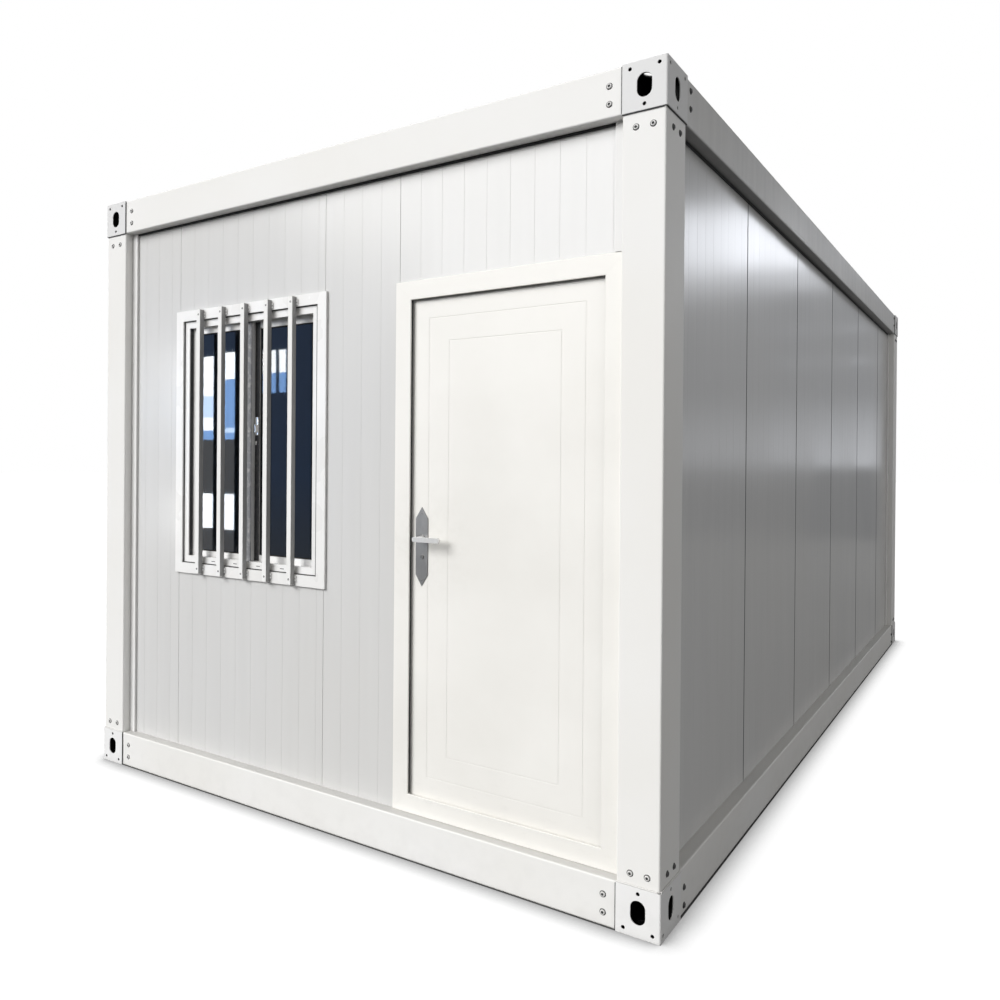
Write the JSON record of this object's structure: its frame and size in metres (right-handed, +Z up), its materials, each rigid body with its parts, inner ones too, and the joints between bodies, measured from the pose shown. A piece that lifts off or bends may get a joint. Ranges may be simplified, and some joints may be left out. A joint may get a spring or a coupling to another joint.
{
  "type": "container house",
  "caption": "Flat-pack container house: bolted steel frame with slotted corner fittings, insulated wall panels, a barred sliding window and a lockable door in one end.",
  "frame": {"origin": "on the ground under the middle of the house", "axes": "+Z up, +Y along the house from the door end to the rear, +X across it to the right as seen from the door end"},
  "size_m": [2.99, 6.055, 2.896],
  "materials": {
    "frame_paint": "white satin powder coat",
    "panel_sheet": "grey-white coated sheet, semi-gloss",
    "trim_sheet": "white coated sheet",
    "ceiling_sheet": "white coated sheet",
    "roof_sheet": "grey-white coated sheet",
    "galvanised": "galvanised",
    "floor": "sealed board",
    "window_plastic": "white",
    "glass": "clear, seen dark",
    "bar_paint": "white gloss paint",
    "door_paint": "warm white satin paint",
    "seal_rubber": "black",
    "hinge_steel": "zinc",
    "lock_steel": "satin"
  },
  "bodies": {
    "house": {"base_fitting_front_left": "frame_paint", "base_fitting_front_right": "frame_paint", "base_fitting_rear_left": "frame_paint", "base_fitting_rear_right": "frame_paint", "roof_fitting_front_left": "frame_paint", "roof_fitting_front_right": "frame_paint", "roof_fitting_rear_left": "frame_paint", "roof_fitting_rear_right": "frame_paint", "corner_post_front_left": "frame_paint", "corner_post_front_right": "frame_paint", "corner_post_rear_left": "frame_paint", "corner_post_rear_right": "frame_paint", "base_beam_front": "frame_paint", "base_beam_rear": "frame_paint", "base_beam_left": "frame_paint", "base_beam_right": "frame_paint", "roof_beam_front": "frame_paint", "roof_beam_rear": "frame_paint", "roof_beam_left": "frame_paint", "roof_beam_right": "frame_paint", "floor_joists": "galvanised", "floor_board": "floor", "ceiling_panel": "ceiling_sheet", "roof_sheet": "roof_sheet", "left_wall_panels": "panel_sheet", "right_wall_panels": "panel_sheet", "rear_wall_panels": "panel_sheet", "front_panel_left": "panel_sheet", "front_panel_under_window": "panel_sheet", "front_panel_over_window": "panel_sheet", "front_panel_middle": "panel_sheet", "front_panel_over_door": "panel_sheet", "wall_end_trims": "trim_sheet", "window_casing": "window_plastic", "window_sliding_frame": "window_plastic", "window_sashes": "window_plastic", "window_glass": "glass", "window_bars": "bar_paint", "door_lock_jamb": "door_paint", "door_hinge_jamb": "door_paint", "door_head": "door_paint", "door_sill": "door_paint", "door_seal": "seal_rubber", "door_hinge_jamb_halves": "hinge_steel"},
    "door": {"door_leaf": "door_paint", "door_hinge_leaf_halves": "hinge_steel", "lock_plates": "lock_steel"},
    "lever": {"outside_lever": "lock_steel", "inside_lever": "lock_steel"}
  },
  "joints": [
    {"name": "door_swing", "type": "hinge", "parent": "house", "child": "door", "pos_m": [1.28, -2.9055, 1.2265], "axis": [0, 0, -1], "range_deg": [0, 90]},
    {"name": "lever_turn", "type": "hinge", "parent": "door", "child": "lever", "pos_m": [0.489, -2.9575, 1.262], "axis": [0, 1, 0], "range_deg": [0, 40], "stiffness_Nm_per_rad": 1, "springref_deg": -34.38}
  ]
}
